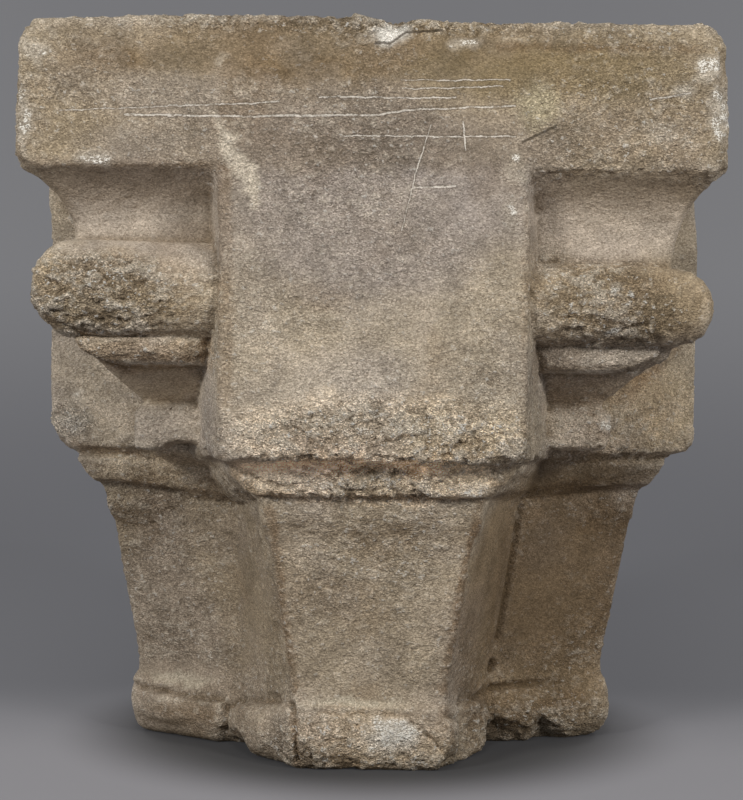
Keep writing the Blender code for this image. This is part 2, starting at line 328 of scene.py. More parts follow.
def break_foot(stone):
    """The broken faces of the foot, most of them to the right of its front face."""
    faces = (
        # place, outward way of the broken face, depth, radius
        ((0.047, -0.088, 0.0150), (0.7, -0.6, 0.1), 0.0034, 0.020),
        ((0.058, -0.064, 0.0200), (-0.3, -0.7, 0.6), 0.0026, 0.013),
        ((0.068, -0.060, 0.0060), (0.1, -0.8, -0.7), 0.0050, 0.022),
        ((0.086, -0.054, 0.0190), (0.4, -0.7, 0.4), 0.0030, 0.014),
        ((0.094, -0.050, 0.0040), (-0.2, -0.7, -0.8), 0.0040, 0.020),
        ((-0.060, -0.070, 0.0030), (-0.5, -0.5, -0.9), 0.0030, 0.018),
    )
    for number, (place, outward, depth, radius) in enumerate(faces):
        stone.split(place, outward, depth, radius, 0.0008, 110 + number)


# Grooves cut or broken into the stone, and with a negative depth a raised line:
# the points along each, its half width and its depth
GROOVES = (
    (((-0.1160, -0.0350, 0.0228), (-0.1071, -0.0402, 0.0223), (-0.0982, -0.0456, 0.0225),
      (-0.0880, -0.0520, 0.0219), (-0.0780, -0.0573, 0.0216), (-0.0697, -0.0602, 0.0222)),
     0.0024, 0.0022),
    (((-0.0674, -0.0652, 0.0190), (-0.0617, -0.0673, 0.0227), (-0.0513, -0.0837, 0.0261),
      (-0.0414, -0.0983, 0.0290)), 0.0026, 0.0026),
    (((-0.0674, -0.0652, 0.0190), (-0.0682, -0.0668, 0.0136), (-0.0682, -0.0653, 0.0053)),
     0.0028, 0.0032),
    (((-0.0350, -0.1085, 0.0290), (-0.0335, -0.1120, 0.0259), (-0.0330, -0.1130, 0.0181),
      (-0.0330, -0.1124, 0.0091), (-0.0320, -0.1106, 0.0033)), 0.0026, 0.0034),
    (((-0.0310, -0.1112, 0.0282), (-0.0043, -0.1131, 0.0283), (0.0134, -0.1139, 0.0279),
      (0.0290, -0.1143, 0.0273)), 0.0018, -0.0010),
    (((-0.0290, -0.1120, 0.0258), (-0.0043, -0.1140, 0.0259), (0.0134, -0.1145, 0.0255)),
     0.0018, 0.0014),
    (((0.0156, -0.1150, 0.0253), (0.0223, -0.1159, 0.0193), (0.0317, -0.1153, 0.0104)),
     0.0015, 0.0018),
    (((0.0345, -0.1140, 0.0263), (0.0400, -0.1060, 0.0227), (0.0450, -0.0960, 0.0167)),
     0.0026, 0.0026),
    (((0.0459, -0.0843, 0.0267), (0.0568, -0.0571, 0.0272), (0.0716, -0.0507, 0.0280),
      (0.0914, -0.0435, 0.0278)), 0.0024, 0.0022),
    (((0.0694, -0.0687, 0.1175), (0.0668, -0.0647, 0.0937), (0.0631, -0.0611, 0.0696),
      (0.0598, -0.0583, 0.0502)), 0.0018, 0.0024),
    (((0.1419, -0.1457, 0.2609), (0.1395, -0.1400, 0.2520), (0.1310, -0.1310, 0.2400)),
     0.0012, 0.0010),
)

ACROSS = np.array((1.0, 0.35, 1.0))  # a groove's place counts less along Y, towards the front


def cut_grooves(stone):
    for line, half_width, depth in GROOVES:
        corners = [np.array(corner) for corner in line]
        gap = np.full(len(stone.points), 1.0)
        for start, end in zip(corners, corners[1:]):
            reach = np.linalg.norm(end - start) / 2 + half_width * 2
            found = stone.around((start + end) / 2, reach)
            if len(found):
                near_by = stone.points[found] * ACROSS
                gap[found] = np.minimum(gap[found], line_gap(near_by, start * ACROSS, end * ACROSS))
        share = 1 - fade(gap, half_width * 0.15, half_width)
        stone.points -= stone.normals * (share * depth)[:, None]


def line_gap(points, start, end):
    """Distance of each point from a straight line between two places."""
    start, way = np.array(start), np.array(end) - np.array(start)
    share = np.clip((points - start) @ way / (way @ way), 0.0, 1.0)
    return np.linalg.norm(points - start - np.outer(share, way), axis=1)


# Arrises that are rubbed rounder than the rest: centre and radii of the place
RUBBED = (
    ((0.0, FRONT + 0.006, SLAB_FOOT - 0.003), (0.170, 0.040, 0.011)),
    ((-0.100, -0.107, 0.1455), (0.030, 0.014, 0.006)),
    ((-0.115, -0.068, BLOCK_FOOT), (0.055, 0.020, 0.006)),
    ((0.115, -0.068, BLOCK_FOOT), (0.055, 0.020, 0.005)),
    ((0.098, -0.107, 0.1455), (0.030, 0.014, 0.005)),
)


def rub(points, edges):
    smooth = softened(points, edges, RUBBED_REACH)
    share = np.zeros(len(points))
    for centre, radii in RUBBED:
        share = np.maximum(share, near(points, centre, radii, 0.6))
    points += (smooth - points) * share[:, None]


def pick_holes(stone):
    """Single holes and knobs that can be told apart."""
    marks = (
        ((0.0567, -0.0580, 0.0373), 0.0048, 0.0042),
        ((-0.0575, -0.0640, 0.0455), 0.0018, 0.0016),
        ((0.0165, FRONT, 0.3060), 0.0022, 0.0008),
        ((-0.0010, FRONT, 0.2030), 0.0030, -0.0007),
        ((0.1000, -0.1440, 0.1955), 0.0030, -0.0012),
        ((0.1005, -0.1440, 0.2100), 0.0022, -0.0010),
    )
    for place, radius, depth in marks:
        stone.dent(place, radius, depth)


def level_consoles(points):
    """The mouldings of each front console lie a little higher or lower than on the solid."""
    levels = (BLOCK_FOOT, 0.1441, 0.1606, 0.1800, OVOLO_TOP, 0.2300, SLAB_FOOT)
    left_rise = (0.0, 0.0008, 0.0008, -0.0020, 0.0008, 0.0020, 0.0)
    right_rise = (0.0, 0.0009, 0.0039, 0.0006, 0.0009, -0.0042, 0.0)
    across, depth, level = (points[:, axis].copy() for axis in range(3))
    corner = fade(np.abs(across), 0.063, 0.070) * fade(-depth, 0.052, 0.064)
    left = np.interp(level, levels, left_rise)
    right = np.interp(level, levels, right_rise)
    points[:, 2] += corner * np.where(across < 0, left, right)


def fill_ovolos(points):
    """The ovolo under each front console's roll is fuller than on the solid, with a ragged edge."""
    reach_levels = (0.1780, 0.1815, 0.1835, 0.1860, 0.1900)
    reaches = (0.1070, 0.1155, 0.1206, 0.1257, 0.1275)
    ovolo_height, undercut = 0.0120, 0.0070
    across, depth = (points[:, axis].copy() for axis in range(2))
    level = points[:, 2]
    on_left = across < 0
    higher = np.where(on_left, 0.0018, 0.0)
    share = np.clip((OVOLO_TOP + higher - level) / ovolo_height, 0.0, 1.0)
    band = fade(level - higher, 0.1768, 0.1785) * (1 - fade(level - higher, 0.1892, 0.1912))
    band = band * fade(np.minimum(np.abs(across), -depth), 0.069, 0.075)
    ragged = 0.0010 * waves(points, (0.014, 0.014, 0.006), 33, octaves=2)
    front_reach = np.where(on_left, 0.1335, 0.1315 - 0.006 * fade(across, 0.100, 0.118))
    front_reach = front_reach - undercut * share**5
    side_reach = np.interp(level, reach_levels, reaches)
    side_reach = np.where(on_left, side_reach, side_reach - 0.002)
    for axis, reach in ((0, side_reach), (1, front_reach)):
        outward = np.abs(points[:, axis])
        gain = np.maximum(reach + ragged - outward, 0.0)
        gain = gain * band * fade(outward, 0.098, 0.104)
        if axis == 1:
            gain = gain * (1 - fade(np.abs(across) - side_reach, -0.004, 0.004))
        points[:, axis] += gain * np.sign(points[:, axis])


def fill_band(points):
    """The bands under the arms stand steep, with only a thin groove between them and the shaft."""
    level = points[:, 2].copy()
    across = np.abs(points[:, 0])
    front_levels = (0.1000, 0.1150, 0.1222, 0.1234, 0.1246, 0.1300, 0.1357)
    front_face = (0.1220, 0.1280, 0.1294, 0.1298, 0.1346, 0.1362, 0.1376)
    side_levels = (0.1000, 0.1150, 0.1222, 0.1234, 0.1248, 0.1300, 0.1357)
    side_face = (0.0500, 0.0560, 0.0575, 0.0577, 0.0640, 0.0668, 0.0694)
    shape = fade(level, 0.1000, 0.1120) * (1 - fade(level, 0.1345, 0.1370))
    front = shape * (1 - fade(across, 0.046, 0.054)) * fade(-points[:, 1], 0.110, 0.116)
    side = shape * fade(across, 0.070, 0.078) * fade(-points[:, 1], 0.030, 0.040)
    side = side * (1 - fade(-points[:, 1], 0.074, 0.078)) * np.where(points[:, 0] < 0, 1.0, 0.6)
    for mask, levels, face in ((front, front_levels, front_face), (side, side_levels, side_face)):
        gain = np.maximum(np.interp(level, levels, face) + points[:, 1], 0.0)
        points[:, 1] -= mask * gain


def slope_arm_feet(points):
    """The side arms' lower edge and band run down a little towards the inner corners."""
    left_fall, right_fall = 0.0065, 0.0032
    across, depth, level = np.abs(points[:, 0]), points[:, 1], points[:, 2]
    arm = fade(level, 0.105, 0.122) * (1 - fade(level, 0.128, 0.168))
    arm = arm * fade(depth, -0.122, -0.078) * (1 - fade(depth, -0.030, 0.0))
    arm = arm * (1 - fade(across, 0.068, 0.122))
    points[:, 2] -= arm * np.where(points[:, 0] < 0, left_fall, right_fall)


def swell(points):
    """Broad lumps and sinkings left by the hand carving."""
    lumps = (
        # centre, radii, which way and how far
        ((0.104, -0.066, 0.1555), (0.0170, 0.020, 0.0125), (0.0, -0.0036, 0.0)),
        ((-0.114, -0.066, 0.1530), (0.0110, 0.020, 0.0120), (0.0, -0.0018, 0.0)),
        ((-0.106, -0.095, 0.1470), (0.0220, 0.024, 0.0100), (0.0, 0.0, -0.0045)),
        ((-0.108, -0.072, 0.1450), (0.0120, 0.016, 0.0060), (0.0, -0.0034, 0.0)),
        ((0.1165, -0.066, 0.1540), (0.0022, 0.020, 0.0100), (0.0, 0.0014, 0.0)),
        ((-0.050, -0.084, 0.0120), (0.0190, 0.026, 0.0170), (-0.0030, -0.0034, 0.0)),
        ((-0.100, -0.046, 0.0140), (0.0300, 0.020, 0.0090), (-0.0006, -0.0022, 0.0)),
        ((0.105, -0.045, 0.0130), (0.0160, 0.025, 0.0120), (0.0014, -0.0022, 0.0)),
        ((-0.010, -0.118, 0.0130), (0.0300, 0.012, 0.0110), (0.0, -0.0014, 0.0)),
    )
    for centre, radii, way in lumps:
        points += np.outer(near(points, centre, radii), way)


def roughness_field(points):
    """How coarse the surface is at each point: 0 where dressed smooth, over 1 where badly worn."""
    field = 0.32 + 0.20 * waves(points, 0.05, 21, octaves=2)
    patches = (
        # centre, radii, how much coarser
        ((0.0, FRONT, 0.150), (0.085, 0.030, 0.020), 0.70),
        ((-0.118, FRONT, ROLL_LEVEL), (0.040, 0.080, 0.026), 0.75),
        ((0.100, FRONT, ROLL_LEVEL - 0.002), (0.045, 0.080, 0.026), 0.40),
        ((0.134, -0.140, ROLL_LEVEL - 0.002), (0.024, 0.060, 0.026), -0.25),
        ((-0.100, FRONT, 0.184), (0.050, 0.060, 0.009), 0.4),
        ((-0.010, FRONT + 0.02, 0.129), (0.070, 0.030, 0.011), 0.5),
        ((-0.010, -0.113, 0.012), (0.055, 0.030, 0.020), 0.45),
        ((0.085, -0.075, 0.012), (0.060, 0.060, 0.020), 0.25),
        ((0.100, FRONT, 0.290), (0.060, 0.030, 0.035), 0.25),
        ((0.0, FRONT, 0.308), (0.170, 0.020, 0.015), -0.22),
        ((0.0, FRONT, TOP), (0.180, 0.020, 0.008), 0.3),
        ((-0.142, -0.066, 0.152), (0.018, 0.020, 0.012), 0.5),
        ((-0.108, -0.130, 0.245), (0.055, 0.045, 0.026), -0.60),
        ((0.108, -0.130, 0.245), (0.055, 0.045, 0.026), -0.60),
        ((0.095, -0.068, 0.128), (0.045, 0.040, 0.014), -0.35),
        ((0.085, -0.060, 0.080), (0.045, 0.060, 0.050), -0.30),
        ((0.055, -0.095, 0.080), (0.020, 0.040, 0.050), -0.25),
        ((-0.055, -0.095, 0.080), (0.016, 0.040, 0.050), -0.20),
        ((-0.095, -0.110, 0.170), (0.030, 0.040, 0.012), -0.20),
        ((0.095, -0.110, 0.170), (0.030, 0.040, 0.012), -0.20),
        ((-0.090, -0.045, 0.030), (0.040, 0.030, 0.008), -0.25),
    )
    for centre, radii, amount in patches:
        field = field + amount * near(points, centre, radii)
    return np.clip(field, 0.05, 1.4)


def bend_slab(points):
    """The slab's small hand-cut errors: it stands a little to the left and swells along its top."""
    share = fade(points[:, 2], SLAB_FOOT - 0.030, SLAB_FOOT)
    front = 1 - fade(points[:, 1], 0.0, 0.15)
    points[:, 0] -= 0.0014 * share * front
    narrow = fade(points[:, 2], SLAB_FOOT + 0.015, TOP)
    points[:, 0] *= 1 - 0.012 * narrow * front
    crown = fade(points[:, 2], TOP - 0.03, TOP) * near(points, (-0.055, FRONT, TOP), (0.085, 0.25, 0.1))
    points[:, 2] += 0.0014 * crown


def wear_arrises(stone):
    """Rounded, rubbed and chipped arrises, and inner corners cut a little deeper."""
    points, normals, edges = stone.points, stone.normals, stone.edges
    soft = softened(points, edges, ARRIS_REACH)
    bulge = -np.sum((soft - points) * normals, axis=1)
    wear = np.clip(0.75 + 0.75 * waves(points, 0.016, 31), 0.2, 1.5)
    corner_depth = 0.0005
    rub(points, edges)
    chip_arrises(stone, bulge)
    points += (soft - points) * (wear * fade(bulge, 0.00003, 0.00025))[:, None]
    points -= normals * (corner_depth * fade(-bulge, 0.00005, 0.0004))[:, None]


def surface_relief(points, rough):
    """Heights of the worn surface over its broad form: lumps, flakes, crumbs and pits."""
    flat = points * LEVEL_STRETCH
    lumps = 0.00040 * waves(flat, 0.010, 51, octaves=3, keep=0.6) * (0.15 + rough)
    flakes = 0.00075 * facets(flat, 0.0085, 61) * rough**1.5
    crumbs = 0.00055 * facets(flat, 0.0026, 67) * (0.20 + rough)
    holes = 0.0012 * pits(points, 0.008, 73, 0.25) * (0.15 + rough)
    return lumps + flakes + crumbs - holes + ripples(points)


def weather(mesh):
    """Moves the fine mesh's points: rounded arrises, chips, holes, pits and an uneven surface.

    Gives the points back with four fields for the colour: worn, sunk, rough and relief.
    """
    stone = Stone(mesh)
    points, normals, edges = stone.points, stone.normals, stone.edges
    wear_arrises(stone)
    break_edges(stone)
    break_foot(stone)
    cut_grooves(stone)
    pick_holes(stone)
    level_consoles(points)
    fill_ovolos(points)
    fill_band(points)
    slope_arm_feet(points)
    swell(points)

    rough = roughness_field(points)
    uneven = 0.00035 * waves(points, 0.045, 41, octaves=2)
    relief = surface_relief(points, rough)
    points += normals * (uneven + relief)[:, None]
    bend_slab(points)
    mesh.vertices.foreach_set("co", points.ravel())
    mesh.update()

    broad = softened(points, edges, BROAD_REACH)
    bulge = -np.sum((broad - points) * normals, axis=1)
    worn = fade(bulge, 0.0002, 0.0018)
    sunk = fade(-bulge, 0.0002, 0.0018)
    return points, np.stack([worn, sunk, rough, fade(relief, -0.0009, 0.0009)], axis=1)


def ripples(points):
    """Heights of the upright striations on the right roll, where its end is broken."""
    share = near(points, (0.132, -0.140, ROLL_LEVEL - 0.003), (0.024, 0.05, 0.024), 0.7)
    step = fade(points[:, 0], 0.1175, 0.1195) * 0.0008
    return share * (0.0010 * waves(points, (0.0038, 0.0080, 0.040), 131, octaves=2) - step)


def thin_out(stone):
    """Fewer triangles, kept mostly where the stone faces the camera."""
    keep_near = 0.003  # how dearly an edge that faces the camera is given up
    least = 0.1  # a place without any weight would keep all its triangles
    mesh = stone.data
    points, normals, _ = mesh_arrays(mesh)
    toward = np.array((CAMERA_SIDE, FRONT - CAMERA_DISTANCE, CAMERA_HEIGHT)) - points
    toward /= np.linalg.norm(toward, axis=1)[:, None]
    hidden = 1 - fade(np.sum(toward * normals, axis=1), -0.2, 0.15)
    levels = 8
    step = np.clip(np.round(hidden * levels).astype(int), 0, levels)
    group = stone.vertex_groups.new(name="away")
    for level in range(levels + 1):
        weight = least + (1 - least) * level / levels
        group.add(np.nonzero(step == level)[0].tolist(), weight, "REPLACE")
    total = sum(len(face.vertices) - 2 for face in mesh.polygons)
    decimate = stone.modifiers.new("fewer", "DECIMATE")
    decimate.ratio = TRIANGLES / total
    decimate.vertex_group = group.name
    decimate.vertex_group_factor = keep_near
    decimate.use_collapse_triangulate = True
    graph = bpy.context.evaluated_depsgraph_get()
    thin = bpy.data.meshes.new_from_object(stone.evaluated_get(graph))
    stone.modifiers.clear()
    stone.vertex_groups.clear()
    stone.data = thin
    thin.shade_smooth()


def mixed(colour, other, mask):
    return colour + (np.array(other) - colour) * mask[:, None]


# Stains and pale places: centre, radii, where the edge starts, strength, and the colour laid on
STAINS = (
    ((0.0, FRONT, 0.313), (0.155, 0.05, 0.018), 0.4, 0.70, (0.255, 0.195, 0.120)),
    ((0.070, FRONT, 0.304), (0.075, 0.02, 0.015), 0.5, 0.60, (0.265, 0.210, 0.120)),
    ((-0.112, FRONT, 0.3075), (0.028, 0.02, 0.012), 0.2, 0.80, (0.190, 0.130, 0.070)),
    ((-0.088, FRONT, 0.2930), (0.036, 0.02, 0.015), 0.3, 0.65, (0.430, 0.385, 0.350)),
    ((-0.100, FRONT, 0.2740), (0.036, 0.02, 0.010), 0.3, 0.50, (0.420, 0.375, 0.335)),
    ((-0.030, FRONT, 0.304), (0.034, 0.02, 0.010), 0.2, 0.75, (0.210, 0.150, 0.085)),
    ((-0.062, FRONT, 0.275), (0.006, 0.02, 0.045), 0.1, 0.65, (0.225, 0.160, 0.090)),
    ((0.0, FRONT, 0.275), (0.150, 0.02, 0.026), 0.3, 0.50, (0.345, 0.305, 0.285)),
    ((0.0, FRONT, 0.240), (0.064, 0.02, 0.044), 0.5, 0.65, (0.385, 0.340, 0.312)),
    ((0.0, FRONT, 0.165), (0.066, 0.02, 0.026), 0.3, 0.40, (0.500, 0.435, 0.345)),
    ((0.090, -0.050, 0.080), (0.060, 0.06, 0.060), 0.6, 0.55, (0.215, 0.160, 0.105)),
    ((0.108, -0.135, 0.243), (0.050, 0.03, 0.018), 0.5, 0.65, (0.560, 0.475, 0.385)),
    ((-0.108, -0.135, 0.240), (0.050, 0.03, 0.016), 0.4, 0.45, (0.490, 0.415, 0.330)),
    ((-0.105, FRONT, 0.210), (0.060, 0.04, 0.024), 0.4, 0.35, (0.280, 0.215, 0.130)),
    ((0.105, FRONT, 0.208), (0.060, 0.04, 0.024), 0.4, 0.40, (0.270, 0.205, 0.125)),
    ((-0.100, -0.064, 0.165), (0.060, 0.02, 0.040), 0.6, 0.55, (0.500, 0.420, 0.310)),
    ((0.105, -0.064, 0.165), (0.060, 0.02, 0.040), 0.6, 0.65, (0.540, 0.440, 0.305)),
    ((-0.080, -0.080, 0.010), (0.060, 0.06, 0.020), 0.4, 0.40, (0.230, 0.175, 0.115)),
    ((0.080, -0.075, 0.010), (0.060, 0.06, 0.022), 0.4, 0.45, (0.220, 0.165, 0.110)),
)

# Mortar left on the front: start, end, half width, strength
MORTAR = (
    ((-0.0700, FRONT, 0.2870), (-0.0610, FRONT, 0.2740), 0.0024, 0.8),
    ((-0.0610, FRONT, 0.2740), (-0.0520, FRONT, 0.2560), 0.0044, 0.9),
    ((-0.0520, FRONT, 0.2560), (-0.0500, FRONT, 0.2460), 0.0022, 0.7),
    ((-0.0640, FRONT, 0.3050), (-0.0615, FRONT, 0.3090), 0.0022, 0.6),
)

# How much darker or lighter whole parts are, some of them painted light and painted shade on the bands
# and the right arm: centre, radii, where the edge starts, and the share
TONES_AND_PAINTED_LIGHT = (
    ((0.0, FRONT, 0.294), (0.30, 0.05, 0.037), 0.75, (0.78, 0.74, 0.66)),
    ((0.0, FRONT, 0.245), (0.085, 0.02, 0.045), 0.6, (0.88, 0.87, 0.86)),
    ((0.0, FRONT, 0.152), (0.075, 0.03, 0.020), 0.6, (1.82, 1.77, 1.68)),
    ((-0.118, FRONT, 0.2095), (0.040, 0.08, 0.026), 0.5, (1.12, 1.10, 1.04)),
    # painted light on the right arm's panel and boss
    ((0.105, -0.085, 0.160), (0.060, 0.05, 0.026), 0.7, (1.20, 1.17, 1.10)),
    # painted light on the band under the front arm
    ((-0.005, -0.134, 0.131), (0.072, 0.03, 0.012), 0.8, (2.15, 2.08, 1.98)),
    ((0.110, FRONT, 0.212), (0.055, 0.06, 0.022), 0.6, (0.93, 0.88, 0.79)),
    ((0.118, FRONT, 0.280), (0.036, 0.03, 0.017), 0.6, (1.16, 1.15, 1.15)),
    ((-0.095, -0.070, 0.131), (0.048, 0.03, 0.013), 0.7, (1.26, 1.25, 1.23)),
    ((-0.110, FRONT, 0.212), (0.055, 0.06, 0.022), 0.6, (0.94, 0.90, 0.84)),
    ((-0.100, -0.130, 0.184), (0.050, 0.03, 0.010), 0.6, (0.96, 0.88, 0.78)),
    # painted light lifting the shade in the cove under the front arm
    ((-0.005, -0.140, 0.1385), (0.070, 0.03, 0.0050), 0.6, (1.60, 1.55, 1.50)),
    # painted shade on the band under the right arm
    ((0.095, -0.070, 0.131), (0.048, 0.03, 0.013), 0.7, (0.66, 0.63, 0.58)),
    ((-0.098, -0.115, 0.170), (0.030, 0.03, 0.012), 0.6, (1.30, 1.29, 1.22)),
    ((0.085, -0.070, 0.070), (0.070, 0.09, 0.078), 0.7, (0.72, 0.65, 0.55)),
    ((-0.085, -0.070, 0.070), (0.070, 0.09, 0.078), 0.7, (0.87, 0.85, 0.81)),
    ((0.0, -0.120, 0.070), (0.045, 0.03, 0.060), 0.7, (0.97, 0.97, 0.96)),
    ((0.0, -0.115, 0.014), (0.045, 0.03, 0.016), 0.6, (1.36, 1.32, 1.26)),
)

COOL_STONE = (0.400, 0.343, 0.285)
WARM_STONE = (0.420, 0.352, 0.262)
BROWN = (0.190, 0.120, 0.062)
# Brown for the painted shade in inner corners, hollows and the low places of the fine relief
PAINTED_SHADE_BROWN = (0.130, 0.092, 0.052)
# Brown laid on low down, and the painted shade on whatever faces downwards
LOW_BROWN_AND_UNDERSIDE_SHADE = (0.225, 0.160, 0.092)
# Pale of worn stone, also used as painted highlight on arrises and on the high places of the relief
PALE_WEAR_AND_HIGHLIGHT = (0.600, 0.530, 0.430)
MORTAR_GREY = (0.560, 0.490, 0.390)
WHITE = (0.870, 0.830, 0.750)
CREAM = (0.560, 0.500, 0.390)
YELLOW = (0.500, 0.430, 0.285)

# Pale marks: centre, radii, strength, colour, and whether the mark is broken into specks
MARKS = (
    ((0.0060, FRONT, 0.3195), (0.0095, 0.012, 0.0070), 0.95, WHITE, False),
    ((0.0370, FRONT, 0.3165), (0.0085, 0.012, 0.0050), 0.60, WHITE, True),
    ((0.1450, -0.1460, 0.2860), (0.0070, 0.012, 0.0200), 0.85, WHITE, True),
    ((0.1390, -0.1490, 0.3070), (0.0090, 0.012, 0.0090), 0.75, WHITE, True),
    ((0.1315, FRONT, 0.2985), (0.0060, 0.012, 0.0050), 0.80, WHITE, True),
    ((0.1180, FRONT, 0.2790), (0.0120, 0.012, 0.0090), 0.45, WHITE, True),
    ((-0.1420, FRONT, 0.3120), (0.0080, 0.012, 0.0080), 0.70, WHITE, True),
    ((-0.1485, -0.1480, 0.2830), (0.0040, 0.012, 0.0240), 0.60, WHITE, True),
    ((-0.1170, FRONT, 0.2670), (0.0130, 0.012, 0.0055), 0.60, WHITE, True),
    ((0.0670, FRONT, 0.2900), (0.0130, 0.020, 0.0150), 0.75, YELLOW, False),
    ((0.0600, FRONT, 0.2620), (0.0080, 0.020, 0.0100), 0.75, CREAM, True),
    ((0.0560, FRONT, 0.2440), (0.0060, 0.020, 0.0100), 0.50, CREAM, True),
    ((0.0100, -0.1155, 0.0165), (0.0180, 0.014, 0.0110), 0.85, WHITE, True),
    ((0.0110, -0.1155, 0.0165), (0.0130, 0.014, 0.0080), 0.55, WHITE, False),
    ((-0.0050, -0.1135, 0.0295), (0.0330, 0.014, 0.0034), 0.65, CREAM, False),
    ((-0.0900, -0.0470, 0.0275), (0.0330, 0.024, 0.0044), 0.55, CREAM, False),
    ((-0.0510, -0.0850, 0.0110), (0.0050, 0.012, 0.0040), 0.80, WHITE, True),
    ((-0.1385, -0.0690, 0.1660), (0.0060, 0.012, 0.0036), 0.70, WHITE, True),
    ((-0.1400, -0.0660, 0.1520), (0.0110, 0.020, 0.0060), 0.50, WHITE, True),
    ((0.1000, -0.1440, 0.1960), (0.0050, 0.012, 0.0040), 0.80, WHITE, True),
    ((0.1000, -0.1440, 0.2110), (0.0040, 0.012, 0.0040), 0.80, WHITE, True),
    ((0.1060, -0.1070, 0.1560), (0.0070, 0.020, 0.0050), 0.70, WHITE, True),
    ((0.0020, FRONT, 0.1560), (0.0650, 0.020, 0.0120), 0.45, CREAM, True),
    ((-0.0100, -0.1330, 0.1290), (0.0600, 0.020, 0.0070), 0.45, CREAM, True),
    ((0.0450, -0.1330, 0.1275), (0.0160, 0.020, 0.0040), 0.60, WHITE, True),
    ((-0.1200, FRONT, 0.2060), (0.0300, 0.020, 0.0120), 0.45, CREAM, True),
)

# Brown edges, and dark lines of painted shade and one painted shadow: the ends of each, its half width
# and how strong
BROWN_AND_SHADE_LINES = (
    ((-0.0442, -0.1270, 0.1170), (-0.0337, -0.1113, 0.0357), 0.0026, 0.85),
    ((0.0466, -0.1270, 0.1214), (0.0328, -0.1118, 0.0364), 0.0026, 0.85),
    # painted shade in the inner corners where the consoles meet the front arm's sides
    ((-0.0710, -0.1060, 0.2600), (-0.0700, -0.1060, 0.1500), 0.0042, 0.75),
    ((0.0700, -0.1060, 0.2600), (0.0690, -0.1060, 0.1500), 0.0030, 0.55),
    # painted shade under the left arm's lower arris, and along the thin grooves under the bands
    ((-0.1440, -0.0680, 0.1420), (-0.0700, -0.0700, 0.1370), 0.0022, 0.50),
    ((-0.1150, -0.0640, 0.1240), (-0.0620, -0.0700, 0.1180), 0.0014, 0.60),
    ((-0.0560, -0.1300, 0.1236), (0.0540, -0.1300, 0.1236), 0.0014, 0.60),
    ((-0.0330, -0.1130, 0.0260), (-0.0320, -0.1106, 0.0033), 0.0030, 0.60),
    ((0.0345, -0.1140, 0.0263), (0.0350, -0.1110, 0.0050), 0.0040, 0.55),
    ((-0.1440, FRONT, 0.2640), (-0.0700, FRONT, 0.2640), 0.0024, 0.45),
    ((-0.1100, -0.0480, 0.0130), (-0.0750, -0.0660, 0.0130), 0.0060, 0.50),
    ((-0.0674, -0.0690, 0.0190), (-0.0682, -0.0700, 0.0050), 0.0022, 0.70),
    ((-0.0640, -0.0700, 0.0225), (-0.0414, -0.0983, 0.0290), 0.0016, 0.50),
    ((0.0500, -0.0850, 0.0200), (0.1000, -0.0450, 0.0200), 0.0060, 0.35),
    ((-0.0640, FRONT, 0.2600), (-0.0630, FRONT, 0.1650), 0.0040, 0.50),
    ((0.0640, FRONT, 0.2500), (0.0640, FRONT, 0.1500), 0.0018, 0.35),
    # painted shadow cast by the right console on the right arm's panel
    ((0.1380, -0.0690, 0.1940), (0.1080, -0.0690, 0.1620), 0.0080, 0.75),
    ((0.0500, FRONT, 0.3145), (0.1370, FRONT, 0.3145), 0.0014, 0.60),
)


def near_line(points, start, end, half_width):
    """1 within a half width of a straight line, fading out over a little more."""
    return 1 - fade(line_gap(points, start, end), half_width * 0.7, half_width * 1.3)


def clean_colours(points, wavy, patch):
    colours = np.tile(np.array(COOL_STONE), (len(points), 1))
    colours = mixed(colours, WARM_STONE, fade(waves(points, 0.05, 171, 2), -0.5, 0.5))
    for centre, radii, edge, strength, stain in STAINS:
        colours = mixed(colours, stain, strength * near(wavy, centre, radii, edge))
    colours = mixed(colours, BROWN, 0.26 * fade(waves(wavy, 0.026, 181, octaves=3), 0.10, 0.80))
    colours = mixed(colours, COOL_STONE, 0.35 * fade(waves(wavy, 0.020, 186, octaves=3), 0.10, 0.80))
    return colours * (1.0 + 0.22 * patch)[:, None]


def painted_shade_and_brown(colours, points, normals, lined, patch, sunk):
    """Darker and browner low down, painted shade on what faces downwards and in the inner corners and
    hollows, and the brown lines, some of them painted shade.
    """
    # darker and browner towards the bottom, below the bands
    colours = mixed(colours, LOW_BROWN_AND_UNDERSIDE_SHADE, 0.25 * (1 - fade(points[:, 2], 0.105, 0.135)))
    # painted shade on whatever faces downwards: the undersides of rolls, bands and ledges
    colours = mixed(colours, LOW_BROWN_AND_UNDERSIDE_SHADE, 0.50 * fade(-normals[:, 2], 0.25, 0.70))
    # painted shade in the inner corners and hollows
    colours = mixed(colours, PAINTED_SHADE_BROWN, 0.65 * sunk)
    # brown lines: brown stains, and painted shade in creases and corners, and a painted shadow
    for start, end, half_width, strength in BROWN_AND_SHADE_LINES:
        share = strength * near_line(lined, start, end, half_width) * (0.7 + 0.3 * patch)
        colours = mixed(colours, BROWN, share)
    return colours


def worn_edges_and_painted_relief_light(colours, fields, broken_patch):
    """Paler on worn arrises, partly worn stone and partly painted highlight, with painted highlight on
    what stands out of the fine relief and painted shade in what lies deep.
    """
    worn, _, rough, relief = fields.T
    # worn arrises paler: partly worn stone, partly painted highlight
    colours = mixed(colours, PALE_WEAR_AND_HIGHLIGHT, worn * (0.10 + 0.55 * fade(broken_patch, -0.1, 0.5)))
    # painted shade in the low places of the fine relief
    colours = mixed(colours, PAINTED_SHADE_BROWN, (0.12 + 0.26 * rough) * (1 - fade(relief, 0.02, 0.38)))
    # painted highlight on the high places of the fine relief
    return mixed(colours, PALE_WEAR_AND_HIGHLIGHT, (0.16 + 0.55 * np.clip(rough, 0, 1)) * fade(relief, 0.56, 0.90))


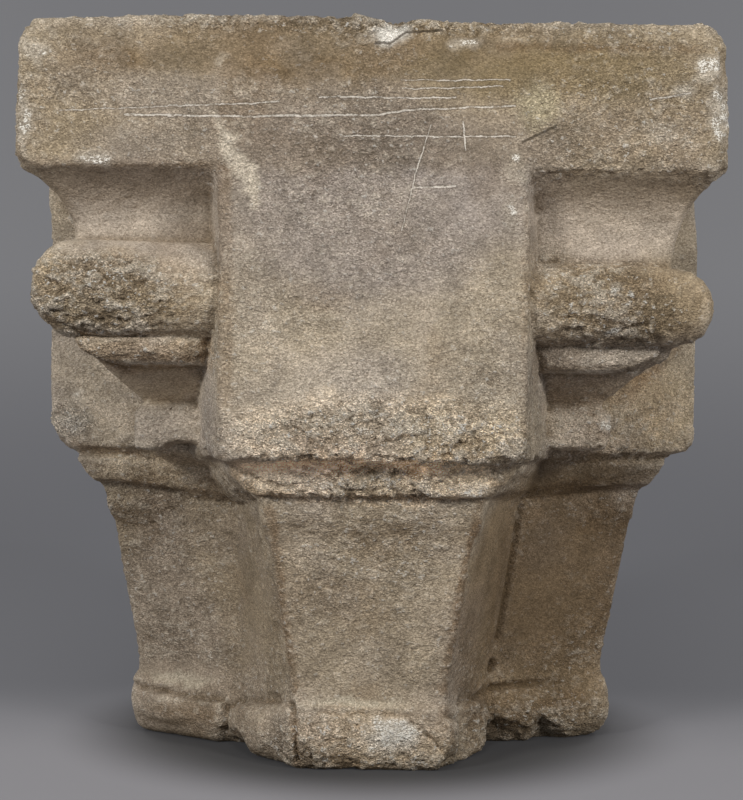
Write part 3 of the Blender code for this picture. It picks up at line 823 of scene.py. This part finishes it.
def stone_colours(points, normals, fields):
    """The stone's colour at each point, without its grain, and how thick with white flecks it is."""
    drift = np.stack([waves(points, 0.009, 141 + 5 * axis, octaves=3) for axis in range(3)], axis=1)
    wavy, lined = points + 0.0035 * drift, points + 0.0010 * drift
    broken_patch = waves(points, 0.011, 161, octaves=4, keep=0.65)
    patch = np.clip(broken_patch, -1, 1)
    colours = clean_colours(points, wavy, patch)
    colours = painted_shade_and_brown(colours, points, normals, lined, patch, fields[:, 1])
    # broad tones, among them painted light on the bands and the right arm and painted shade on the right
    # band
    for centre, radii, edge, share in TONES_AND_PAINTED_LIGHT:
        colours = colours * (1 + np.outer(near(wavy, centre, radii, edge), np.array(share) - 1))
    colours = worn_edges_and_painted_relief_light(colours, fields, broken_patch)
    for start, end, half_width, strength in MORTAR:
        colours = mixed(colours, MORTAR_GREY, strength * near_line(wavy, start, end, half_width))
    specks = fade(waves(points, 0.0034, 191, octaves=2), -0.10, 0.45)
    flecked = np.zeros(len(points))
    for centre, radii, strength, pale, broken in MARKS:
        share = strength * near(wavy, centre, radii, 0.3)
        if broken:
            flecked = np.maximum(flecked, share * (0.35 + 0.65 * specks))
        colours = mixed(colours, pale, share * 0.35 if broken else share)
    return colours, flecked


def carry(mesh, points, fields):
    """Gives the thinned mesh the colour and roughness of the fine mesh's nearest points."""
    tree = kdtree.KDTree(len(points))
    for index, point in enumerate(points):
        tree.insert(point, index)
    tree.balance()
    found = np.array([tree.find(vertex.co)[1] for vertex in mesh.vertices])
    _, normals, _ = mesh_arrays(mesh)
    colours, flecked = stone_colours(points[found], normals, fields[found])
    values = np.concatenate([colours, fields[found, 2:3]], axis=1)
    # the stone's colour, with its painted shade and highlights, and its roughness in the fourth channel
    layer = mesh.color_attributes.new("weathering_and_painted_light", "FLOAT_COLOR", "POINT")
    layer.data.foreach_set("color", values.astype(np.float32).ravel())
    flecks = mesh.attributes.new("flecks", "FLOAT", "POINT")
    flecks.data.foreach_set("value", flecked.astype(np.float32))


def make(tree, kind, props=None, **inputs):
    """A shader node with its properties and inputs set; an input can be another node's output."""
    node = tree.nodes.new(kind)
    for name, value in (props or {}).items():
        setattr(node, name, value)
    for name, value in inputs.items():
        plug(tree, node, name.replace("_", " "), value)
    return node


def plug(tree, node, key, value):
    if isinstance(value, bpy.types.NodeSocket):
        tree.links.new(value, node.inputs[key])
    else:
        node.inputs[key].default_value = value


def maths(tree, operation, *values, clamp=False):
    node = make(tree, "ShaderNodeMath", {"operation": operation, "use_clamp": clamp})
    for index, value in enumerate(values):
        plug(tree, node, index, value)
    return node.outputs[0]


def vector_maths(tree, operation, *values):
    node = make(tree, "ShaderNodeVectorMath", {"operation": operation})
    for index, value in enumerate(values):
        plug(tree, node, index, value)
    return node.outputs["Value" if operation == "LENGTH" else "Vector"]


def between(tree, value, low, high, start=0.0, end=1.0):
    """The value's place between low and high, eased, as a number from start to end."""
    props = {"interpolation_type": "SMOOTHSTEP"}
    node = make(tree, "ShaderNodeMapRange", props, From_Min=low, From_Max=high, To_Min=start, To_Max=end)
    plug(tree, node, 0, value)
    return node.outputs[0]


def blend(tree, factor, first, second):
    """The first colour, going over to the second as the factor rises to 1."""
    node = make(tree, "ShaderNodeMix", {"data_type": "RGBA"})
    for index, value in ((0, factor), (6, first), (7, second)):
        plug(tree, node, index, value)
    return node.outputs[2]


def grain(tree, place, size, detail, roughness, offset=(0.0, 0.0, 0.0)):
    """Noise whose lumps are about the given size in metres, from 0 to 1."""
    place = vector_maths(tree, "ADD", place, offset)
    node = make(
        tree, "ShaderNodeTexNoise", None,
        Vector=place, Scale=1 / size, Detail=detail, Roughness=roughness,
    )
    return node.outputs["Fac"]


def score(tree, along, across, marks):
    """Distance from the nearest of several nearly straight scores, on the axes along and across.

    Each mark gives its two ends as (along, across) and how faint it is, as an extra distance.
    """
    nearest = None
    for (a0, c0), (a1, c1), faint in marks:
        slope = (c1 - c0) / (a1 - a0)
        line = maths(tree, "MULTIPLY_ADD", along, slope, c0 - slope * a0)
        off = maths(tree, "ABSOLUTE", maths(tree, "SUBTRACT", across, line))
        past = maths(tree, "ABSOLUTE", maths(tree, "SUBTRACT", along, (a0 + a1) / 2))
        past = maths(tree, "SUBTRACT", past, abs(a1 - a0) / 2)
        gap = maths(tree, "ADD", maths(tree, "MAXIMUM", off, past), faint)
        nearest = gap if nearest is None else maths(tree, "MINIMUM", nearest, gap)
    return nearest


LEVEL_SCORES = (
    ((-0.1321, 0.2861), (-0.0882, 0.2882), 0.00022),
    ((-0.0882, 0.2882), (-0.0409, 0.2904), 0.00016),
    ((-0.1049, 0.2847), (-0.0550, 0.2842), 0.0),
    ((-0.0550, 0.2842), (-0.0016, 0.2853), 0.0),
    ((-0.0016, 0.2853), (0.0200, 0.2882), 0.0),
    ((0.0200, 0.2882), (0.0582, 0.2897), 0.00012),
    ((-0.0234, 0.2926), (0.0330, 0.2928), 0.00012),
    ((-0.0128, 0.2765), (0.0583, 0.2768), 0.00014),
    ((0.0159, 0.2551), (0.0335, 0.2561), 0.0),
    ((0.1146, 0.2927), (0.1313, 0.2958), 0.00010),
    ((0.0105, 0.3000), (0.0560, 0.3005), 0.00024),
    ((0.0110, 0.2965), (0.0530, 0.2978), 0.00022),
)
UPRIGHT_SCORES = (
    ((0.2814, 0.0231), (0.2605, 0.0167), 0.00016),
    ((0.2605, 0.0167), (0.2375, 0.0115), 0.00020),
    ((0.2828, 0.0365), (0.2712, 0.0379), 0.00012),
)
CRACKS = (
    ((0.0617, 0.2747), (0.0754, 0.2815), 0.0),
    ((-0.0003, 0.3155), (0.0060, 0.3155), 0.0),
    ((0.0060, 0.3155), (0.0123, 0.3198), 0.0),
    ((0.0123, 0.3198), (0.0270, 0.3208), 0.0001),
)
SCORE_WIDTH = 0.00056

GRAIN_SIZE = 0.00055
GRAIN_STRETCH = (0.88, 0.88, 1.1)
DARK_GRAIN = (0.25, 0.22, 0.18)  # as shares of the stone's own colour
LIGHT_GRAIN = (2.0, 2.0, 2.05)
FLECK = (0.820, 0.790, 0.730, 1.0)
WHITE_FLECK = (0.900, 0.860, 0.780, 1.0)
SCORE_SHADE = (0.100, 0.075, 0.050, 1.0)
SCORE_COLOUR = (0.760, 0.700, 0.620, 1.0)
CRACK_COLOUR = (0.060, 0.045, 0.030, 1.0)


def grained(tree, pure, rough, dots, sand, tint):
    """The stone's colour with its dark and light grains and white flecks."""
    chalk = make(tree, "ShaderNodeAttribute", {"attribute_name": "flecks"}).outputs["Fac"]
    pepper = maths(tree, "MULTIPLY_ADD", rough, 0.18, 0.40, clamp=True)
    shine = maths(tree, "MULTIPLY_ADD", rough, 0.80, 0.29, clamp=True)
    salt = maths(tree, "MULTIPLY_ADD", sand, 0.7, tint)
    dark = maths(tree, "MULTIPLY", between(tree, salt, 0.40, 0.80, 1.0, 0.0), pepper)
    colour = blend(tree, dark, pure, vector_maths(tree, "MULTIPLY", pure, DARK_GRAIN))
    light = maths(tree, "MULTIPLY", between(tree, salt, 0.95, 1.35), shine)
    colour = blend(tree, light, colour, vector_maths(tree, "MULTIPLY", pure, LIGHT_GRAIN))
    flecks = maths(tree, "MULTIPLY", between(tree, dots, 0.60, 0.67), rough, clamp=True)
    colour = blend(tree, flecks, colour, FLECK)
    white = between(tree, maths(tree, "MULTIPLY_ADD", dots, 1.2, salt), 1.45, 1.60)
    white = maths(tree, "MULTIPLY", white, chalk)
    white = between(tree, maths(tree, "MULTIPLY_ADD", chalk, 0.62, white), 0.45, 0.85)
    return blend(tree, white, colour, WHITE_FLECK)


def scored(tree, colour, place, dots):
    """Adds the thin scratches and cracks of the front, a little unsteady and broken up."""
    waver = 0.0026
    axes = make(tree, "ShaderNodeSeparateXYZ", None, Vector=place)
    wander = grain(tree, place, 0.007, 4.0, 0.8)
    x, z = (
        maths(tree, "MULTIPLY_ADD", wander, waver, maths(tree, "SUBTRACT", axes.outputs[axis], waver / 2))
        for axis in (0, 2)
    )
    gap = maths(tree, "MINIMUM", score(tree, x, z, LEVEL_SCORES), score(tree, z, x, UPRIGHT_SCORES))
    front = between(tree, axes.outputs[1], FRONT + 0.002, FRONT + 0.004, 1.0, 0.0)
    line = between(tree, gap, SCORE_WIDTH * 0.4, SCORE_WIDTH, 1.0, 0.0)
    line = maths(tree, "MULTIPLY", line, front)
    broken = maths(tree, "MULTIPLY", line, between(tree, dots, 0.34, 0.54, 0.15, 0.95))
    beside = between(tree, gap, SCORE_WIDTH, SCORE_WIDTH * 2, 0.45, 0.0)
    colour = blend(tree, maths(tree, "MULTIPLY", beside, front), colour, SCORE_SHADE)
    colour = blend(tree, broken, colour, SCORE_COLOUR)
    crack = between(tree, score(tree, x, z, CRACKS), SCORE_WIDTH * 0.5, SCORE_WIDTH * 1.6, 0.8, 0.0)
    return blend(tree, maths(tree, "MULTIPLY", crack, front), colour, CRACK_COLOUR)


def limestone():
    material = bpy.data.materials.new("limestone")
    material.use_nodes = True
    tree = material.node_tree
    shader = tree.nodes["Principled BSDF"]
    place = make(tree, "ShaderNodeTexCoord").outputs["Object"]
    layer = make(tree, "ShaderNodeVertexColor", {"layer_name": "weathering_and_painted_light"})
    pure, rough = layer.outputs[0], layer.outputs[1]

    flat = vector_maths(tree, "MULTIPLY", place, GRAIN_STRETCH)
    sand = grain(tree, flat, 0.0010, 2.0, 0.7)
    dots = grain(tree, flat, 0.0030, 3.0, 0.75, (7.7, 2.1, 4.3))
    grains = make(tree, "ShaderNodeTexVoronoi", None, Vector=flat, Scale=1 / GRAIN_SIZE)
    tint = make(tree, "ShaderNodeSeparateColor", None, Color=grains.outputs["Color"]).outputs[0]
    colour = grained(tree, pure, rough, dots, sand, tint)
    colour = scored(tree, colour, place, dots)
    tree.links.new(colour, shader.inputs["Base Color"])

    height = maths(tree, "MULTIPLY_ADD", dots, 2.0, maths(tree, "MULTIPLY_ADD", tint, 0.25, sand))
    strength = maths(tree, "MULTIPLY_ADD", rough, 0.75, 0.30, clamp=True)
    bump = make(tree, "ShaderNodeBump", None, Strength=strength, Distance=0.0026, Height=height)
    tree.links.new(bump.outputs[0], shader.inputs["Normal"])
    shader.inputs["Roughness"].default_value = 0.92
    shader.inputs["Specular IOR Level"].default_value = 0.22
    return material


def sweep():
    """A pale floor that bends up into a backdrop well behind the stone."""
    half_width = 3.0
    front, back, top, radius = -2.5, 1.6, 3.0, 0.8
    steps = 16
    profile = [(front, 0.0), (back - radius, 0.0)]
    for step in range(1, steps + 1):
        angle = math.pi / 2 * step / steps
        profile.append((back - radius + radius * math.sin(angle), radius * (1 - math.cos(angle))))
    profile.append((back, top))
    shape = bmesh.new()
    rows = [[shape.verts.new((x, y, z)) for x in (-half_width, half_width)] for y, z in profile]
    for lower, upper in zip(rows, rows[1:]):
        shape.faces.new((lower[0], lower[1], upper[1], upper[0]))
    mesh = bpy.data.meshes.new("sweep")
    shape.to_mesh(mesh)
    shape.free()
    thing = bpy.data.objects.new("floor", mesh)
    bpy.context.scene.collection.objects.link(thing)
    mesh.shade_smooth()
    return thing


def sweep_material():
    """Pale grey on the floor, darker just behind the stone, with a painted contact shadow where the stone
    stands on the floor, and a faint glow of painted light.
    """
    near_grey = (0.185, 0.183, 0.198, 1.0)
    far_grey = (0.107, 0.109, 0.121, 1.0)
    high_grey = (0.162, 0.164, 0.176, 1.0)
    painted_contact_shadow = (0.015, 0.015, 0.015, 1.0)
    foot_middle = (0.0, -0.022, 0.0)
    material = bpy.data.materials.new("glowing_paper")
    material.use_nodes = True
    tree = material.node_tree
    shader = tree.nodes["Principled BSDF"]
    place = make(tree, "ShaderNodeTexCoord").outputs["Object"]
    axes = make(tree, "ShaderNodeSeparateXYZ", None, Vector=place)
    behind = between(tree, axes.outputs[1], -0.10, 0.10)
    colour = blend(tree, behind, near_grey, far_grey)
    colour = blend(tree, between(tree, axes.outputs[2], 0.0, 0.30), colour, high_grey)
    gap = vector_maths(tree, "LENGTH", vector_maths(tree, "SUBTRACT", place, foot_middle))
    # painted contact shadow around the foot
    colour = blend(tree, between(tree, gap, 0.095, 0.160, 0.88, 0.0), colour, painted_contact_shadow)
    tree.links.new(colour, shader.inputs["Base Color"])
    # the floor and backdrop glow with their own colour: painted light that weakens the shadows falling on
    # them
    tree.links.new(colour, shader.inputs["Emission Color"])
    shader.inputs["Emission Strength"].default_value = 0.45
    shader.inputs["Roughness"].default_value = 0.85
    return material


def area_light(name, place, aim, size, power, colour):
    lamp = bpy.data.lights.new(name, "AREA")
    lamp.shape = "DISK"
    lamp.size = size
    lamp.energy = power
    lamp.color = colour
    thing = bpy.data.objects.new(name, lamp)
    thing.location = place
    thing.rotation_euler = (Vector(aim) - Vector(place)).to_track_quat("-Z", "Y").to_euler()
    bpy.context.scene.collection.objects.link(thing)


def studio():
    """Two soft lights in front, one above them, two weaker ones behind, and a faint warm fill."""
    middle = (0.0, FRONT / 2, TOP * 0.6)
    warm = (1.0, 0.985, 0.955)
    lamps = (
        # name, place, size, power, colour
        ("left", (-1.15, -1.35, 0.92), 0.40, 18.5, warm),
        ("right", (1.15, -1.35, 0.92), 0.40, 15.5, warm),
        ("top", (-0.10, -1.30, 1.40), 0.50, 6.5, (1.0, 0.99, 0.97)),
        ("back_left", (-1.15, 1.20, 1.05), 0.60, 5.5, warm),
        ("back_right", (1.15, 1.20, 1.05), 0.60, 5.5, warm),
    )
    for name, place, size, power, colour in lamps:
        area_light(name, place, middle, size, power, colour)
    world = bpy.data.worlds.new("studio")
    world.use_nodes = True
    background = world.node_tree.nodes["Background"]
    background.inputs["Color"].default_value = (1.0, 0.94, 0.86, 1.0)
    background.inputs["Strength"].default_value = 0.10
    bpy.context.scene.world = world


def photograph_camera():
    data = bpy.data.cameras.new("camera")
    data.sensor_width = SENSOR_MM
    data.lens = FOCAL_PX / FRAME_HEIGHT_PX * SENSOR_MM
    data.clip_start = 0.02
    camera = bpy.data.objects.new("camera", data)
    place = Matrix.Translation((CAMERA_SIDE, FRONT - CAMERA_DISTANCE, CAMERA_HEIGHT))
    tilt = Matrix.Rotation(math.pi / 2 - CAMERA_PITCH, 4, "X")
    camera.matrix_world = place @ tilt @ Matrix.Rotation(CAMERA_ROLL, 4, "Z")
    bpy.context.scene.collection.objects.link(camera)
    bpy.context.scene.camera = camera


stone = remeshed_stone()
points, fields = weather(stone.data)
thin_out(stone)
carry(stone.data, points, fields)
stone.data.materials.clear()
stone.data.materials.append(limestone())
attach(stone, "root")
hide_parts("capital")

floor = sweep()
floor.data.materials.append(sweep_material())
studio()
photograph_camera()
bpy.context.scene.view_settings.view_transform = "Standard"

bpy.context.view_layer.update()
